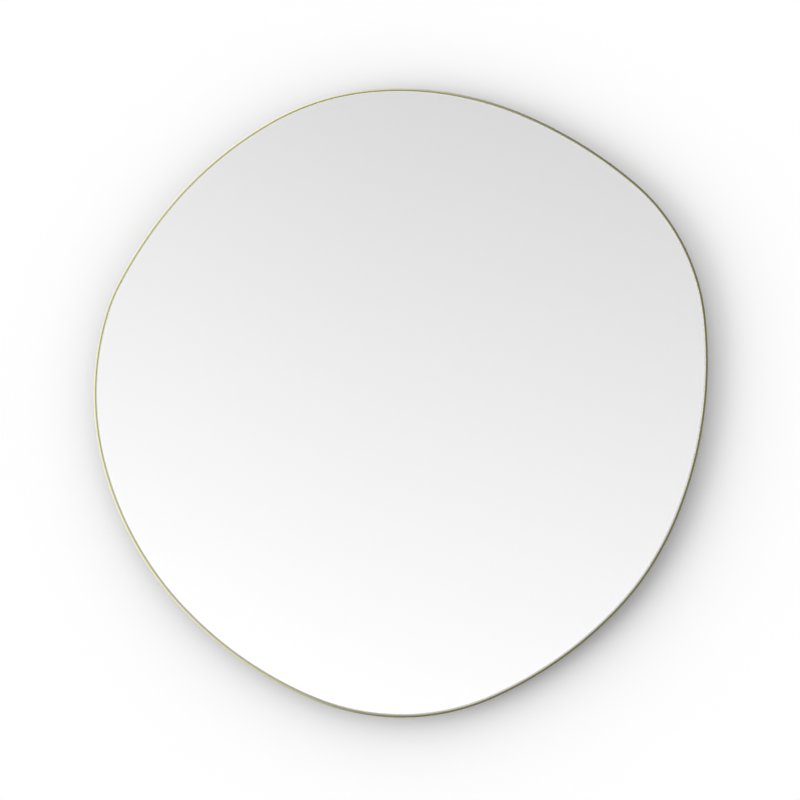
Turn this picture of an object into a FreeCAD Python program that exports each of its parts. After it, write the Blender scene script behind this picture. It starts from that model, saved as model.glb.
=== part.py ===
import FreeCAD, Part
import math
import os

import Sketcher

# A pebble shaped wall mirror in a thin brass hoop, with the board, hangers and bumpers behind it.
#
# Frame: +Z is up, +X is to the right as seen from the front, and the mirror faces -Y. The plane Y = 0
# is the wall, and the origin is the point on it behind the middle of the outline. Sizes are in
# millimetres and degrees. A depth is a distance in front of the wall, so it lies at minus that in Y.

# The outline of the hoop's outer edge is set at nine places round it, anticlockwise as seen from the
# front. At each place the outline stands square to the line from the middle, and two arcs that touch
# each other, with half of the turn each, join it to the next place.
PLACES = [
    "right", "shoulder", "brow", "crown", "upper_left", "left", "lower_left", "foot", "lower_right",
]
# The places that carry a lug, about 60 degrees apart.
LUG_PLACES = ["right", "shoulder", "crown", "left", "lower_left", "foot"]

SIZES = {
    # How far round each place lies from the one before, the first from +X.
    "right_turn_angle": -21,
    "shoulder_turn_angle": 54,
    "brow_turn_angle": 34,
    "crown_turn_angle": 30,
    "upper_left_turn_angle": 45,
    "left_turn_angle": 21,
    "lower_left_turn_angle": 60,
    "foot_turn_angle": 48,
    "lower_right_turn_angle": 46,
    # How far the outline swells out past the base radius at each place, or dips in where negative.
    "base_radius": 390,
    "right_swell": -9.5,
    "shoulder_swell": 22.5,
    "brow_swell": 8.5,
    "crown_swell": 9.5,
    "upper_left_swell": -4,
    "left_swell": 2,
    "lower_left_swell": -8,
    "foot_swell": 10,
    "lower_right_swell": -8.5,
    # The hoop: a flat bar on edge, held off the wall by the bumpers.
    "wall_gap": 1.5,
    "band_depth": 24,
    "band_wall": 3.5,
    "outer_round": 2.4,
    "inner_round": 0.5,
    "back_round": 0.5,
    # The glass and the silver, paint and film on its back.
    "glass_recess": 1.5,
    "glass_thickness": 4,
    "glass_gap": 0.1,
    "glass_arris": 0.1,
    "silver_thickness": 0.2,
    # The tape and adhesive that hold the glass to its board.
    "tape_thickness": 1,
    "tape_width": 19,
    "tape_inset": 130,
    "tape_margin": 60,
    "bead_width": 12,
    "bead_margin": 110,
    # The board.
    "board_thickness": 9,
    "board_gap": 1,
    "board_chamfer": 0.8,
    # The lugs: bent strips welded to the hoop.
    "lug_thickness": 2,
    "lug_width": 18,
    "lug_foot": 15,
    "lug_bend": 1,
    "lug_corner": 3,
    "lug_screw_setback": 9,
    "lug_edge_margin": 1.5,
    # All screws are the same but for their length under the head.
    "screw_radius": 1.75,
    "screw_head_radius": 3.5,
    "screw_head_height": 2.2,
    "screw_head_round": 1.2,
    "screw_tip": 2.5,
    "recess_reach": 1.9,
    "recess_half_width": 0.45,
    "recess_depth": 1.2,
    "lug_screw_length": 9,
    "hanger_screw_length": 8,
    "bumper_screw_length": 10,
    "pilot_clearance": 0.05,
    "pilot_spare_depth": 0.4,
    "screw_hole_clearance": 0.25,
    # The strap hangers and their rings.
    "hanger_spread": 400,
    "hanger_drop": 200,
    "strap_thickness": 1.2,
    "strap_width": 13,
    "strap_corner": 4,
    "strap_end": 7,
    "strap_screw_room": 5,
    "hinge_clearance": 0.1,
    "ring_wire_radius": 1.5,
    "ring_side_play": 1.5,
    "ring_corner": 3,
    "ring_arm": 2,
    "ring_joint_gap": 0.4,
    # The bumpers.
    "bumper_inset": 50,
    "bumper_angle": 44,
    "bumper_base_radius": 8,
    "bumper_tip_radius": 6.75,
    "bumper_tip_round": 0.8,
    "bumper_seat": 3,
    "bumper_recess_radius": 4.2,
    "washer_radius": 4,
    "washer_thickness": 0.8,
}

doc = FreeCAD.newDocument("irregular_mirror")
sheet = doc.addObject("Spreadsheet::Sheet", "sizes")
for row, (alias, number) in enumerate(SIZES.items(), 1):
    sheet.set(f"A{row}", str(number))
    sheet.setAlias(f"A{row}", alias)
doc.recompute()

V = FreeCAD.Vector
SKETCH_NORMAL = V(0, 0, 1)

# Depths in front of the wall, from the front of the hoop back to the back of the board.
BAND_FRONT = "(sizes.wall_gap + sizes.band_depth)"
GLASS_FRONT = f"({BAND_FRONT} - sizes.glass_recess)"
GLASS_BACK = f"({GLASS_FRONT} - sizes.glass_thickness)"
SILVER_BACK = f"({GLASS_BACK} - sizes.silver_thickness)"
BOARD_FRONT = f"({SILVER_BACK} - sizes.tape_thickness)"
BOARD_BACK = f"({BOARD_FRONT} - sizes.board_thickness)"

# Insets of the outlines from the hoop's outer edge.
BAND_INSET = "sizes.band_wall"
GLASS_INSET = "(sizes.band_wall + sizes.glass_gap)"
BOARD_INSET = "(sizes.band_wall + sizes.board_gap)"

# The hanger, measured down from the middle of its eye.
EYE_INNER = "(sizes.ring_wire_radius + sizes.hinge_clearance)"
EYE_OUTER = f"({EYE_INNER} + sizes.strap_thickness)"
RING_HALF_WIDTH = "(sizes.strap_width / 2 + sizes.ring_side_play + sizes.ring_corner)"
RING_LENGTH = f"(sizes.ring_corner + sizes.ring_arm + {RING_HALF_WIDTH})"
RING_INSIDE = f"({RING_LENGTH} - sizes.ring_wire_radius)"
RING_OUTSIDE = f"({RING_LENGTH} + sizes.ring_wire_radius)"
UPPER_SCREW_DROP = f"(({EYE_OUTER} + {RING_INSIDE}) / 2)"
LOWER_SCREW_DROP = f"({RING_OUTSIDE} + sizes.screw_head_radius + sizes.strap_screw_room)"
STRAP_LENGTH = f"({LOWER_SCREW_DROP} + sizes.strap_end)"
HANGER_X = "(sizes.hanger_spread / 2)"
HANGER_Z = "(sizes.base_radius - sizes.hanger_drop)"

# Depths of the screws' seats behind the board's back, and the reach of the bumpers.
BUMPER_SCREW_SEAT = "(sizes.bumper_seat + sizes.washer_thickness)"
BUMPER_RADIUS = "(sizes.base_radius - sizes.bumper_inset)"
BUMPER_X = f"({BUMPER_RADIUS} * cos(sizes.bumper_angle * 1deg))"
BUMPER_Z = f"({BUMPER_RADIUS} * sin(sizes.bumper_angle * 1deg))"

HOLE_RADIUS = "(sizes.screw_radius + sizes.screw_hole_clearance)"
PILOT_RADIUS = "(sizes.screw_radius + sizes.pilot_clearance)"

# Rounded and bevelled edges, each limited by the piece that it is on.
BAND_OUTER_ROUND = "min(sizes.outer_round; 0.7 * sizes.band_wall)"
BAND_INNER_ROUND = "min(sizes.inner_round; 0.2 * sizes.band_wall)"
BAND_BACK_ROUND = "min(sizes.back_round; 0.2 * sizes.band_wall)"
GLASS_ARRIS = "min(sizes.glass_arris; 0.4 * sizes.glass_thickness)"
BOARD_CHAMFER = "min(sizes.board_chamfer; 0.4 * sizes.board_thickness)"
BEAD_END_ROUND = "0.49 * sizes.bead_width"
SCREW_HEAD_ROUND = "min(sizes.screw_head_round; 0.8 * sizes.screw_head_height)"
STRAP_CORNER = "min(sizes.strap_corner; 0.45 * sizes.strap_width)"

SIDES = {"left": "-1", "right": "1"}
CORNERS = {
    "upper_left": ("-1", "1"),
    "upper_right": ("1", "1"),
    "lower_left": ("-1", "-1"),
    "lower_right": ("1", "-1"),
}
TAPE_STRIPS = 5
ADHESIVE_BEADS = TAPE_STRIPS - 1
TAPE_PITCH = f"(2 * (sizes.base_radius - sizes.tape_inset) / {TAPE_STRIPS - 1})"

# Places closer together than this are one and the same.
CLOSE = 1e-4

parts = {}


def value(expression):
    """The number that an expression on the sheet comes to."""
    return float(sheet.evalExpression(expression))


def angle_of(place):
    """The angle of a place on the outline, from +X, in degrees."""
    before = PLACES[: PLACES.index(place) + 1]
    return "(" + " + ".join(f"sizes.{name}_turn_angle" for name in before) + ")"


def reach_of(place, inset):
    """The distance of a place on the outline, drawn in by inset, from the middle."""
    return f"(sizes.base_radius + sizes.{place}_swell - {inset})"


def place_at(thing, x="0", y="0", z="0", turn="0"):
    """Bind an object's place to the sheet. turn is anticlockwise as seen from the front."""
    facing_front = V(0, -1, 0)
    thing.Placement = FreeCAD.Placement(V(0, 0, 0), FreeCAD.Rotation(facing_front, 1))
    thing.setExpression("Placement.Base.x", x)
    thing.setExpression("Placement.Base.y", y)
    thing.setExpression("Placement.Base.z", z)
    thing.setExpression("Placement.Rotation.Angle", f"{turn} * 1deg")


def new_body(name):
    body = doc.addObject("PartDesign::Body", name)
    body.Label = name
    return body


def new_sketch(body, name, plane, offset=None):
    """An empty sketch on one of the body's own planes, offset along the plane's normal."""
    sketch = body.newObject("Sketcher::SketchObject", f"{body.Name}_{name}")
    support = [item for item in body.Origin.OriginFeatures if item.Role == plane][0]
    sketch.AttachmentSupport = [(support, "")]
    sketch.MapMode = "FlatFace"
    if offset:
        sketch.setExpression("AttachmentOffset.Base.z", offset)
    return sketch


def constrain(sketch, bound):
    """Add constraints, each a pair of the constraint and the expression that drives it, or None."""
    first = sketch.ConstraintCount
    sketch.addConstraint([constraint for constraint, _ in bound])
    for index, (_, expression) in enumerate(bound, first):
        if expression:
            sketch.setExpression(f"Constraints[{index}]", expression)


def pin_down(index, end, x, y):
    """Constraints that hold one point of a sketch at two expressions."""
    held = []
    for kind, expression, axis in (("DistanceX", x, -2), ("DistanceY", y, -1)):
        if expression == "0":
            held.append((Sketcher.Constraint("PointOnObject", index, end, axis), None))
        else:
            number = value(expression)
            held.append((Sketcher.Constraint(kind, -1, 1, index, end, number), expression))
    return held


def polygon(sketch, corners):
    """A closed run of straight edges through corners, each a pair of expressions."""
    spots = [V(value(x), value(y), 0) for x, y in corners]
    count = len(spots)
    for index in range(count):
        sketch.addGeometry(Part.LineSegment(spots[index], spots[(index + 1) % count]), False)
    bound = []
    for index, (x, y) in enumerate(corners):
        follower = Sketcher.Constraint("Coincident", index, 2, (index + 1) % count, 1)
        bound += [(follower, None)] + pin_down(index, 1, x, y)
    constrain(sketch, bound)
    return sketch


def circles(sketch, middles, radius):
    """One circle at each pair of expressions."""
    for x, y in middles:
        circle = Part.Circle(V(value(x), value(y), 0), SKETCH_NORMAL, value(radius))
        index = sketch.addGeometry(circle, False)
        size = (Sketcher.Constraint("Radius", index, value(radius)), radius)
        constrain(sketch, pin_down(index, 3, x, y) + [size])
    return sketch


def unit(angle):
    return V(math.cos(angle), math.sin(angle), 0)


def paired_arcs(start, end):
    """The two arcs from one place of the outline to the next. start and end are (angle, reach)."""
    (first, near), (last, far) = start, end
    middle = (first + last) / 2
    chord = unit(last) * far - unit(first) * near
    u = unit(middle) - unit(first)
    w = unit(last) - unit(middle)
    scale = u.x * w.y - u.y * w.x
    radius_1 = (chord.x * w.y - chord.y * w.x) / scale
    radius_2 = (u.x * chord.y - u.y * chord.x) / scale
    centre_1 = unit(first) * (near - radius_1)
    centre_2 = unit(last) * (far - radius_2)
    return [
        Part.ArcOfCircle(Part.Circle(centre_1, SKETCH_NORMAL, radius_1), first, middle),
        Part.ArcOfCircle(Part.Circle(centre_2, SKETCH_NORMAL, radius_2), middle, last),
    ]


def outline(body, name, inset="0"):
    """The mirror's outline as a sketch facing the front, drawn in by inset on all sides."""
    sketch = new_sketch(body, name, "XZ_Plane")
    count = len(PLACES)
    turns = [angle_of(place) for place in PLACES]
    turns.append(f"({turns[0]} + 360)")
    reaches = [reach_of(place, inset) for place in PLACES]
    reaches.append(reaches[0])
    spots = [(math.radians(value(t)), value(r)) for t, r in zip(turns, reaches)]
    for angle, reach in spots[:-1]:
        sketch.addGeometry(Part.LineSegment(V(0, 0, 0), unit(angle) * reach), True)
    for start, end in zip(spots, spots[1:]):
        for arc in paired_arcs(start, end):
            sketch.addGeometry(arc, False)
    bound = []
    for ray in range(count):
        arc = count + 2 * ray
        following = count + (2 * ray + 2) % (2 * count)
        angle, reach = spots[ray]
        half_turn = (spots[ray + 1][0] - angle) / 2
        bound += [
            (Sketcher.Constraint("Coincident", ray, 1, -1, 1), None),
            (Sketcher.Constraint("Distance", ray, reach), reaches[ray]),
            (Sketcher.Constraint("Angle", ray, angle), f"{turns[ray]} * 1deg"),
            (Sketcher.Constraint("Coincident", ray, 2, arc, 1), None),
            (Sketcher.Constraint("PointOnObject", arc, 3, ray), None),
            (
                Sketcher.Constraint("Angle", arc, half_turn),
                f"({turns[ray + 1]} - {turns[ray]}) / 2 * 1deg",
            ),
            (Sketcher.Constraint("Tangent", arc, 2, arc + 1, 1), None),
            (Sketcher.Constraint("Tangent", arc + 1, 2, following, 1), None),
        ]
    constrain(sketch, bound)
    return sketch


def pad(body, sketch, length, both_ways=False):
    """Thicken a sketch along its normal, or half to each side."""
    feature = body.newObject("PartDesign::Pad", f"{sketch.Name}_pad")
    feature.Profile = sketch
    feature.SideType = "Symmetric" if both_ways else "One side"
    feature.setExpression("Length", length)
    doc.recompute()
    return feature


def pocket(body, sketch, depth=None, along_normal=True):
    """Cut a sketch out along its normal, or against it, to depth or right through."""
    before = body.Shape.Volume
    feature = body.newObject("PartDesign::Pocket", f"{sketch.Name}_pocket")
    feature.Profile = sketch
    feature.Reversed = along_normal
    if depth:
        feature.setExpression("Length", depth)
    else:
        feature.Type = "ThroughAll"
    doc.recompute()
    if not body.Shape.Volume < before:
        raise RuntimeError(f"{feature.Name} cuts nothing")
    return feature


def revolve(body, sketch):
    """Turn a sketch once round its own vertical axis."""
    feature = body.newObject("PartDesign::Revolution", f"{sketch.Name}_turned")
    feature.Profile = sketch
    feature.ReferenceAxis = (sketch, ["V_Axis"])
    feature.Angle = 360
    doc.recompute()
    return feature


def edges_where(feature, test):
    """The names of a feature's edges of which test, given the edge, is true."""
    edges = enumerate(feature.Shape.Edges, 1)
    return [f"Edge{number}" for number, edge in edges if test(edge)]


def at_depth(y):
    """A test for edges that lie at one Y of their body."""
    return lambda edge: max(abs(edge.BoundBox.YMin - y), abs(edge.BoundBox.YMax - y)) < CLOSE


def rim_of_front(feature, outer):
    """A test for the edges of the outer or the inner rim of a feature's foremost flat face."""
    flat = [face for face in feature.Shape.Faces if face.BoundBox.YLength < CLOSE]
    front = min(flat, key=lambda face: face.BoundBox.YMin)
    rim = front.OuterWire.Edges
    return lambda edge: any(edge.isSame(other) for other in front.Edges) and outer == any(
        edge.isSame(other) for other in rim
    )


def along_y(edge):
    return edge.BoundBox.YLength > CLOSE > max(edge.BoundBox.XLength, edge.BoundBox.ZLength)


def round_off(body, feature, names, radius, kind="Fillet"):
    """Fillet, or chamfer, edges of a feature."""
    if not names:
        raise RuntimeError(f"{feature.Name} has no such edges")
    finish = body.newObject(f"PartDesign::{kind}", f"{feature.Name}_{kind.lower()}")
    finish.Base = (feature, names)
    finish.setExpression("Radius" if kind == "Fillet" else "Size", radius)
    doc.recompute()
    return finish


def sheet_of(name, inset, back, thickness):
    """A flat sheet with the mirror's outline, its back face at a depth in front of the wall."""
    body = new_body(name)
    place_at(body, y=f"-{back}")
    return body, pad(body, outline(body, "outline", inset), thickness)


def make_band():
    """The hoop: a flat bar on edge, its face rolled well back to the outside and eased on the inside."""
    body = new_body("frame_band")
    place_at(body, y="-sizes.wall_gap")
    pad(body, outline(body, "outer_edge"), "sizes.band_depth")
    ring = pocket(body, outline(body, "inner_wall", BAND_INSET))
    outer = edges_where(ring, rim_of_front(ring, outer=True))
    rolled = round_off(body, ring, outer, BAND_OUTER_ROUND)
    inner = edges_where(rolled, rim_of_front(rolled, outer=False))
    eased = round_off(body, rolled, inner, BAND_INNER_ROUND)
    back = edges_where(eased, at_depth(0))
    round_off(body, eased, back, BAND_BACK_ROUND)
    parts["frame_band"] = body


def make_glass():
    body, blank = sheet_of("mirror_glass", GLASS_INSET, GLASS_BACK, "sizes.glass_thickness")
    front = edges_where(blank, at_depth(-value("sizes.glass_thickness")))
    round_off(body, blank, front, GLASS_ARRIS, "Chamfer")
    parts["mirror_glass"] = body


def make_silver():
    body, _ = sheet_of("silver_backing", GLASS_INSET, SILVER_BACK, "sizes.silver_thickness")
    parts["silver_backing"] = body


def half_chord(margin, x):
    """Half the height of a strip at x that stops a margin short of the base circle."""
    return f"sqrt((sizes.base_radius - {margin})^2 - ({x})^2)"


def make_tape():
    """Vertical strips of foam tape between the silver and the board."""
    for number in range(1, TAPE_STRIPS + 1):
        steps = number - (TAPE_STRIPS + 1) / 2
        middle = f"({steps} * {TAPE_PITCH})"
        half = half_chord("sizes.tape_margin", middle)
        strip = doc.addObject("Part::Box", f"foam_tape_{number}")
        strip.setExpression("Length", "sizes.tape_width")
        strip.setExpression("Width", "sizes.tape_thickness")
        strip.setExpression("Height", f"2 * {half}")
        place_at(strip, x=f"{middle} - sizes.tape_width / 2", y=f"-{SILVER_BACK}", z=f"-{half}")
        parts[strip.Name] = strip


def make_adhesive():
    """Beads of adhesive, squeezed to the thickness of the tape, midway between the strips."""
    for number in range(1, ADHESIVE_BEADS + 1):
        steps = number - (ADHESIVE_BEADS + 1) / 2
        middle = f"({steps} * {TAPE_PITCH})"
        half = half_chord("sizes.bead_margin", middle)
        body = new_body(f"adhesive_bead_{number}")
        place_at(body, x=middle, y=f"-{BOARD_FRONT}")
        corners = [
            ("-sizes.bead_width / 2", f"-{half}"),
            ("sizes.bead_width / 2", f"-{half}"),
            ("sizes.bead_width / 2", half),
            ("-sizes.bead_width / 2", half),
        ]
        bead = pad(body, polygon(new_sketch(body, "bead", "XZ_Plane"), corners), "sizes.tape_thickness")
        round_off(body, bead, edges_where(bead, along_y), BEAD_END_ROUND)
        parts[body.Name] = body


def lug_screw_spots():
    """The lug screws' places, as pairs of expressions, with the turn of each."""
    spots = {}
    for place in LUG_PLACES:
        radius = f"({reach_of(place, BAND_INSET)} - sizes.lug_screw_setback)"
        turn = angle_of(place)
        spots[place] = (f"{radius} * cos({turn} * 1deg)", f"{radius} * sin({turn} * 1deg)", turn)
    return spots


def hanger_screw_spots():
    spots = {}
    for side, sign in SIDES.items():
        for level, drop in (("upper", UPPER_SCREW_DROP), ("lower", LOWER_SCREW_DROP)):
            spots[f"{side}_{level}"] = (f"{sign} * {HANGER_X}", f"{HANGER_Z} - {drop}")
    return spots


def bumper_spots():
    return {
        corner: (f"{across} * {BUMPER_X}", f"{up} * {BUMPER_Z}")
        for corner, (across, up) in CORNERS.items()
    }


def make_board():
    """The board, with a blind pilot hole behind every screw."""
    body, blank = sheet_of("backing_board", BOARD_INSET, BOARD_BACK, "sizes.board_thickness")
    back = edges_where(blank, at_depth(0))
    round_off(body, blank, back, BOARD_CHAMFER, "Chamfer")
    groups = {
        "lug_pilots": (lug_screw_spots(), "sizes.lug_screw_length - sizes.lug_thickness"),
        "hanger_pilots": (hanger_screw_spots(), "sizes.hanger_screw_length - sizes.strap_thickness"),
        "bumper_pilots": (bumper_spots(), f"sizes.bumper_screw_length - {BUMPER_SCREW_SEAT}"),
    }
    for name, (spots, reach) in groups.items():
        middles = [spot[:2] for spot in spots.values()]
        sketch = circles(new_sketch(body, name, "XZ_Plane"), middles, PILOT_RADIUS)
        pocket(body, sketch, f"{reach} + sizes.pilot_spare_depth")
    parts["backing_board"] = body


def make_lug_blank(place):
    """A bent lug, square to the hoop, before its leg is fitted to the hoop's curve."""
    body = new_body(f"lug_blank_{place}")
    place_at(body, turn=angle_of(place))
    wall = reach_of(place, BAND_INSET)
    foot_back = f"-{BOARD_BACK} + sizes.lug_thickness"
    leg_end = "-sizes.wall_gap - sizes.lug_edge_margin"
    corners = [
        (f"{wall} - sizes.lug_foot", f"-{BOARD_BACK}"),
        (wall, f"-{BOARD_BACK}"),
        (wall, leg_end),
        (f"{wall} - sizes.lug_thickness", leg_end),
        (f"{wall} - sizes.lug_thickness", foot_back),
        (f"{wall} - sizes.lug_foot", foot_back),
    ]
    profile = polygon(new_sketch(body, "profile", "XY_Plane"), corners)
    strip = pad(body, profile, "sizes.lug_width", both_ways=True)
    depth, thickness = value(BOARD_BACK), value("sizes.lug_thickness")
    reach, foot = value(wall), value("sizes.lug_foot")

    def runs_across_at(x, y):
        def test(edge):
            box = edge.BoundBox
            return box.ZLength > CLOSE > max(abs(box.XMin - x), abs(box.YMin - y))
        return test

    outer = edges_where(strip, runs_across_at(reach, -depth))
    bend = round_off(body, strip, outer, "sizes.lug_bend + sizes.lug_thickness")
    inner = edges_where(bend, runs_across_at(reach - thickness, thickness - depth))
    bend = round_off(body, bend, inner, "sizes.lug_bend")
    free = edges_where(bend, lambda e: along_y(e) and abs(e.BoundBox.XMin - (reach - foot)) < CLOSE)
    round_off(body, bend, free, "sizes.lug_corner")
    spot = [(f"{wall} - sizes.lug_screw_setback", "0")]
    pocket(body, circles(new_sketch(body, "screw_hole", "XZ_Plane"), spot, HOLE_RADIUS))
    return body


def make_lugs():
    """The lugs, each cut back to the inner wall of the hoop that it is welded to."""
    inside = new_body("inside_of_band")
    pad(inside, outline(inside, "inner_wall", BAND_INSET), BAND_FRONT)
    for place in LUG_PLACES:
        lug = doc.addObject("Part::Common", f"frame_lug_{place}")
        lug.Base = make_lug_blank(place)
        lug.Tool = inside
        parts[lug.Name] = lug
    doc.recompute()


def make_screw(name, length, x, depth, z, turn="0"):
    """A pan head screw with a cross recess, driven towards the front, seated at a depth."""
    body = new_body(name)
    place_at(body, x=x, y=f"-{depth}", z=z, turn=turn)
    corners = [
        ("0", "sizes.screw_head_height"),
        ("0", f"-{length}"),
        ("sizes.screw_radius", f"-({length} - sizes.screw_tip)"),
        ("sizes.screw_radius", "0"),
        ("sizes.screw_head_radius", "0"),
        ("sizes.screw_head_radius", "sizes.screw_head_height"),
    ]
    blank = revolve(body, polygon(new_sketch(body, "profile", "XY_Plane"), corners))
    rim = edges_where(blank, at_depth(value("sizes.screw_head_height")))
    round_off(body, blank, rim, SCREW_HEAD_ROUND)
    far, near = "sizes.recess_reach", "sizes.recess_half_width"
    quarter = [(far, f"-{near}"), (far, near), (near, near), (near, far)]
    cross = quarter + [(f"-{near}", far), (f"-{near}", near), (f"-{far}", near)]
    cross += [(f"-{far}", f"-{near}"), (f"-{near}", f"-{near}"), (f"-{near}", f"-{far}")]
    cross += [(near, f"-{far}"), (near, f"-{near}")]
    recess = new_sketch(body, "recess", "XZ_Plane", "-sizes.screw_head_height")
    pocket(body, polygon(recess, cross), "sizes.recess_depth")
    parts[name] = body


def make_screws():
    for place, (x, z, turn) in lug_screw_spots().items():
        seat = f"({BOARD_BACK} - sizes.lug_thickness)"
        make_screw(f"lug_screw_{place}", "sizes.lug_screw_length", x, seat, z, turn)
    for name, (x, z) in hanger_screw_spots().items():
        seat = f"({BOARD_BACK} - sizes.strap_thickness)"
        make_screw(f"hanger_screw_{name}", "sizes.hanger_screw_length", x, seat, z)
    for name, (x, z) in bumper_spots().items():
        seat = f"({BOARD_BACK} - {BUMPER_SCREW_SEAT})"
        make_screw(f"bumper_screw_{name}", "sizes.bumper_screw_length", x, seat, z)


def strap_profile(body):
    """The strap from the side: flat on the board, then rolled three quarters round to an eye."""
    sketch = new_sketch(body, "profile", "YZ_Plane")
    inner, outer, length = value(EYE_INNER), value(EYE_OUTER), value(STRAP_LENGTH)
    thickness = outer - inner
    centre = V(outer, 0, 0)
    start, end = -math.pi / 2, math.pi
    shapes = [
        Part.LineSegment(V(0, -length, 0), V(0, 0, 0)),
        Part.ArcOfCircle(Part.Circle(centre, SKETCH_NORMAL, outer), start, end),
        Part.LineSegment(V(outer, -outer, 0), V(outer, -inner, 0)),
        Part.ArcOfCircle(Part.Circle(centre, SKETCH_NORMAL, inner), start, end),
        Part.LineSegment(V(thickness, 0, 0), V(thickness, -length, 0)),
        Part.LineSegment(V(thickness, -length, 0), V(0, -length, 0)),
    ]
    board_side, outside, lip, inside, wall_side, foot = [sketch.addGeometry(s, False) for s in shapes]
    C = Sketcher.Constraint
    constrain(sketch, [
        (C("Tangent", board_side, 2, outside, 2), None),
        (C("Coincident", outside, 1, lip, 1), None),
        (C("Coincident", lip, 2, inside, 1), None),
        (C("Tangent", inside, 2, wall_side, 1), None),
        (C("Coincident", wall_side, 2, foot, 1), None),
        (C("Coincident", foot, 2, board_side, 1), None),
        (C("Coincident", outside, 3, inside, 3), None),
        (C("PointOnObject", board_side, 1, -2), None),
        (C("Vertical", board_side), None),
        (C("PointOnObject", outside, 3, -1), None),
        (C("Vertical", wall_side), None),
        (C("Horizontal", foot), None),
        (C("Vertical", lip), None),
        (C("Vertical", outside, 3, outside, 1), None),
        (C("Radius", outside, outer), EYE_OUTER),
        (C("Radius", inside, inner), EYE_INNER),
        (C("DistanceY", board_side, 1, -1, 1, length), STRAP_LENGTH),
    ])
    return sketch


def make_strap(side, sign):
    body = new_body(f"hanger_strap_{side}")
    place_at(body, x=f"{sign} * {HANGER_X}", y=f"-{BOARD_BACK}", z=HANGER_Z)
    strap = pad(body, strap_profile(body), "sizes.strap_width", both_ways=True)
    bottom = value(STRAP_LENGTH)
    feet = edges_where(strap, lambda e: along_y(e) and abs(e.BoundBox.ZMin + bottom) < CLOSE)
    round_off(body, strap, feet, STRAP_CORNER)
    holes = [("0", f"-{UPPER_SCREW_DROP}"), ("0", f"-{LOWER_SCREW_DROP}")]
    sketch = circles(new_sketch(body, "screw_holes", "XZ_Plane"), holes, HOLE_RADIUS)
    pocket(body, sketch, "sizes.strap_thickness", along_normal=False)
    parts[body.Name] = body


def ring_spine(body):
    """The middle of the ring's wire: a D whose straight leg is open in its middle."""
    sketch = new_sketch(body, "spine", "XZ_Plane")
    half, corner = value(RING_HALF_WIDTH), value("sizes.ring_corner")
    high = corner + value("sizes.ring_arm")
    gap = value("sizes.ring_joint_gap") / 2
    right, up = 0, math.pi / 2
    shapes = [
        Part.LineSegment(V(gap, 0, 0), V(half - corner, 0, 0)),
        Part.ArcOfCircle(Part.Circle(V(half - corner, corner, 0), SKETCH_NORMAL, corner), -up, right),
        Part.LineSegment(V(half, corner, 0), V(half, high, 0)),
        Part.ArcOfCircle(Part.Circle(V(0, high, 0), SKETCH_NORMAL, half), right, 2 * up),
        Part.LineSegment(V(-half, high, 0), V(-half, corner, 0)),
        Part.ArcOfCircle(Part.Circle(V(corner - half, corner, 0), SKETCH_NORMAL, corner), 2 * up, 3 * up),
        Part.LineSegment(V(corner - half, 0, 0), V(-gap, 0, 0)),
    ]
    leg, elbow, arm, bow, far_arm, far_elbow, far_leg = [sketch.addGeometry(s, False) for s in shapes]
    C = Sketcher.Constraint
    run = [leg, elbow, arm, bow, far_arm, far_elbow, far_leg]
    joints = [(C("Tangent", one, 2, other, 1), None) for one, other in zip(run, run[1:])]
    constrain(sketch, joints + [
        (C("Horizontal", leg), None),
        (C("Horizontal", far_leg), None),
        (C("Vertical", arm), None),
        (C("Vertical", far_arm), None),
        (C("PointOnObject", leg, 1, -1), None),
        (C("PointOnObject", far_leg, 2, -1), None),
        (C("PointOnObject", bow, 3, -2), None),
        (C("Radius", elbow, corner), "sizes.ring_corner"),
        (C("Equal", elbow, far_elbow), None),
        (C("Radius", bow, half), RING_HALF_WIDTH),
        (C("DistanceY", -1, 1, bow, 3, high), "sizes.ring_corner + sizes.ring_arm"),
        (C("DistanceX", -1, 1, leg, 1, gap), "sizes.ring_joint_gap / 2"),
        (C("DistanceX", -1, 1, far_leg, 2, -gap), "-sizes.ring_joint_gap / 2"),
    ])
    return sketch


def make_ring(side, sign):
    """The D ring, standing up from its eye as it does on a wall hook."""
    body = new_body(f"hanger_ring_{side}")
    place_at(body, x=f"{sign} * {HANGER_X}", y=f"-{BOARD_BACK} + {EYE_OUTER}", z=HANGER_Z)
    spine = ring_spine(body)
    wire = new_sketch(body, "wire", "YZ_Plane", "sizes.ring_joint_gap / 2")
    circles(wire, [("0", "0")], "sizes.ring_wire_radius")
    sweep = body.newObject("PartDesign::AdditivePipe", f"{body.Name}_sweep")
    sweep.Profile = wire
    sweep.Spine = (spine, [])
    doc.recompute()
    parts[body.Name] = body


def make_hangers():
    for side, sign in SIDES.items():
        make_strap(side, sign)
        make_ring(side, sign)


def make_bumper(corner, x, z):
    """A rubber bumper from the board to the wall, recessed for its washer and screw."""
    body = new_body(f"bumper_{corner}")
    place_at(body, x=x, y=f"-{BOARD_BACK}", z=z)
    corners = [
        (HOLE_RADIUS, "0"),
        ("sizes.bumper_base_radius", "0"),
        ("sizes.bumper_tip_radius", BOARD_BACK),
        ("sizes.bumper_recess_radius", BOARD_BACK),
        ("sizes.bumper_recess_radius", "sizes.bumper_seat"),
        (HOLE_RADIUS, "sizes.bumper_seat"),
    ]
    blank = revolve(body, polygon(new_sketch(body, "profile", "XY_Plane"), corners))
    tip, height = value("sizes.bumper_tip_radius"), value(BOARD_BACK)
    flat = at_depth(height)
    rim = edges_where(blank, lambda e: flat(e) and e.BoundBox.XLength > 2 * tip - CLOSE)
    round_off(body, blank, rim, "sizes.bumper_tip_round")
    parts[body.Name] = body


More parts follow.
